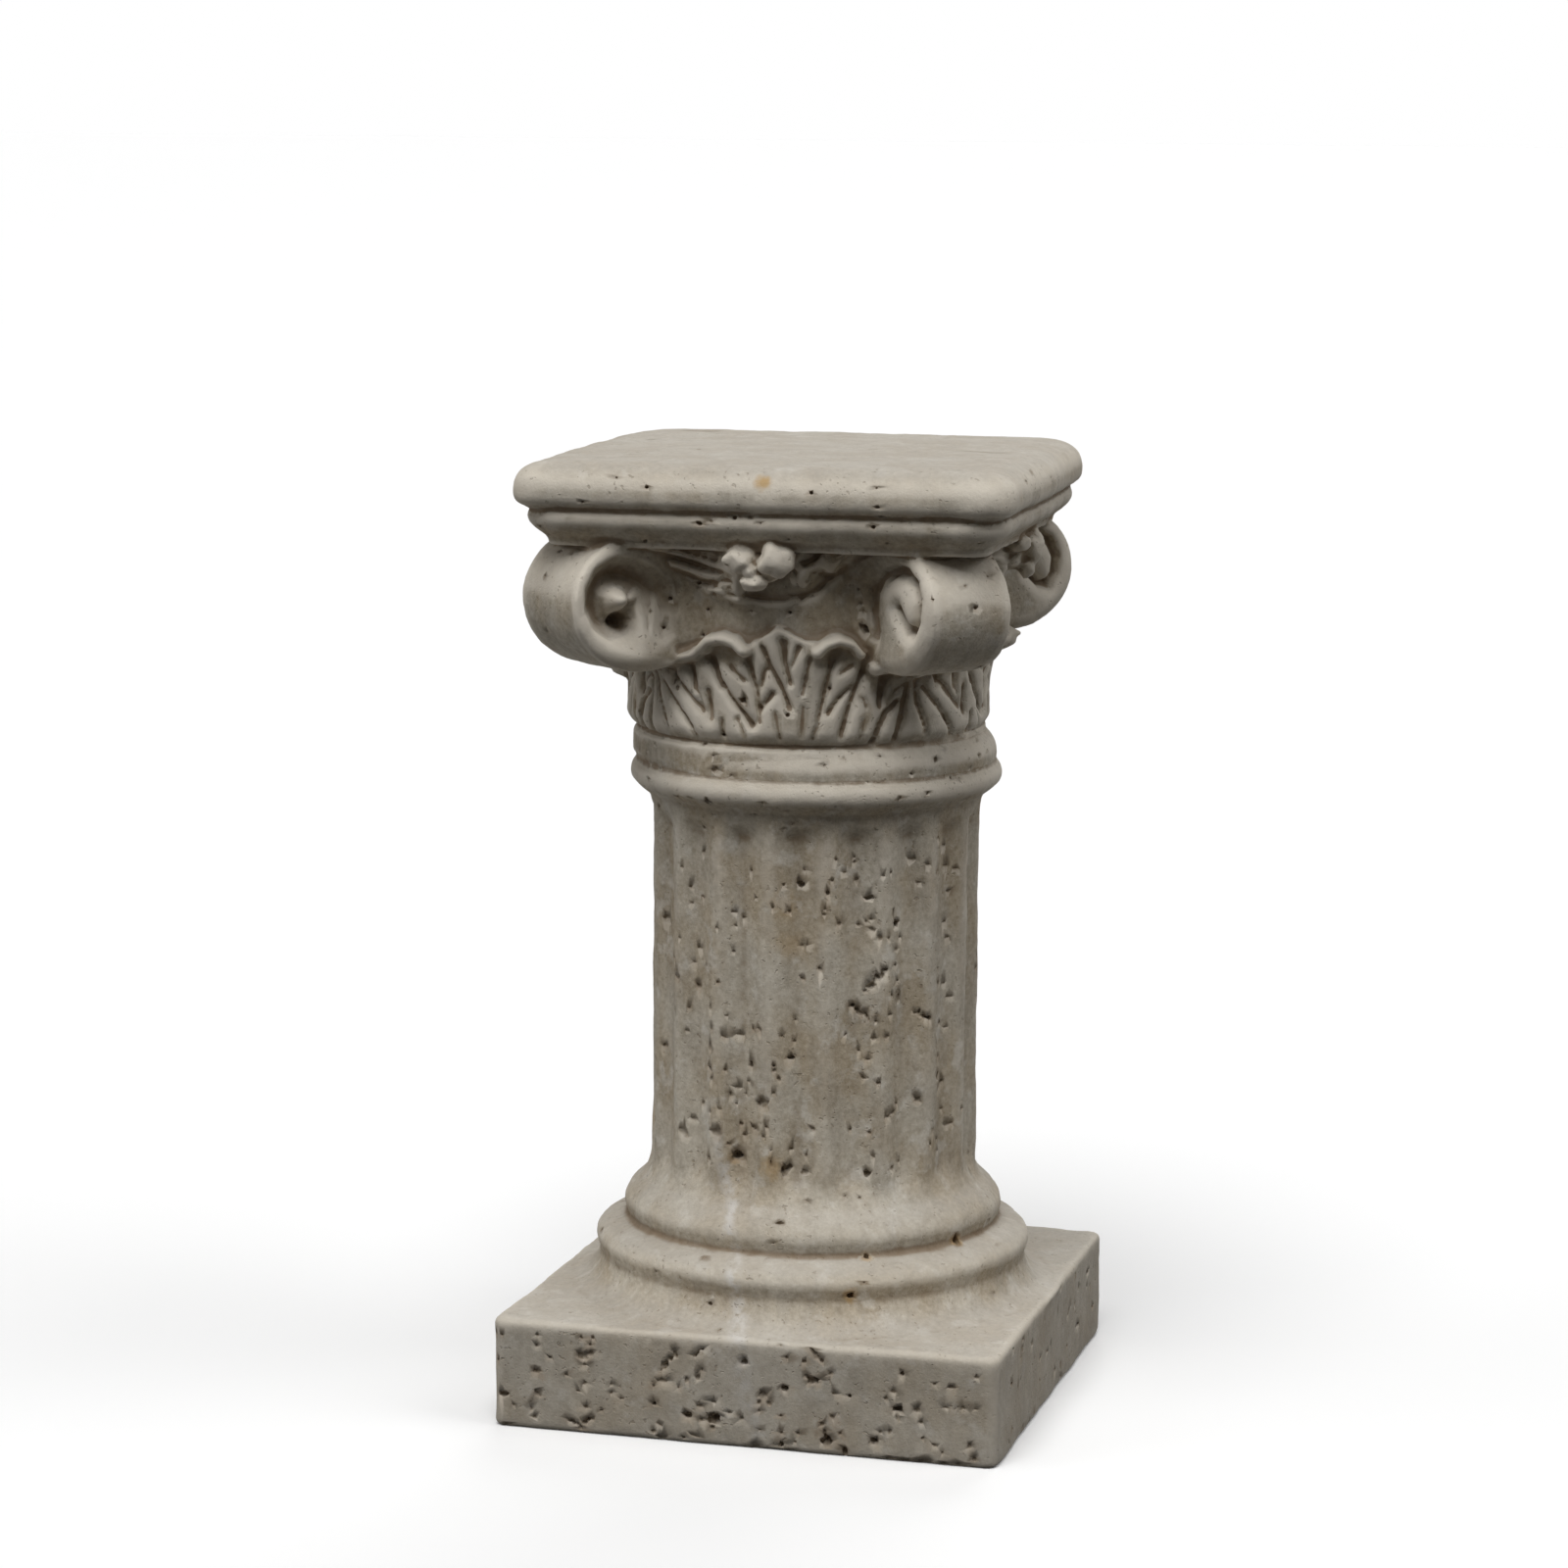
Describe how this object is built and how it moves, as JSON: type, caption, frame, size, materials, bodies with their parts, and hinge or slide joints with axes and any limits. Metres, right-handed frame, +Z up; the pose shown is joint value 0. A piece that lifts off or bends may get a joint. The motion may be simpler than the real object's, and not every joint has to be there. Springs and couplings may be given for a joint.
{
  "type": "travertine column",
  "caption": "Short carved stone column on a square plinth, with a fluted shaft and a leafy scrolled capital under a flat square top.",
  "frame": {"origin": "bottom centre of the square plinth", "axes": "+Z up the column, -Y towards the front, +X to the right of the front"},
  "size_m": [0.16, 0.16, 0.3],
  "materials": {
    "travertine": "matte"
  },
  "bodies": {
    "root": {"travertine_column": "travertine"}
  },
  "joints": []
}
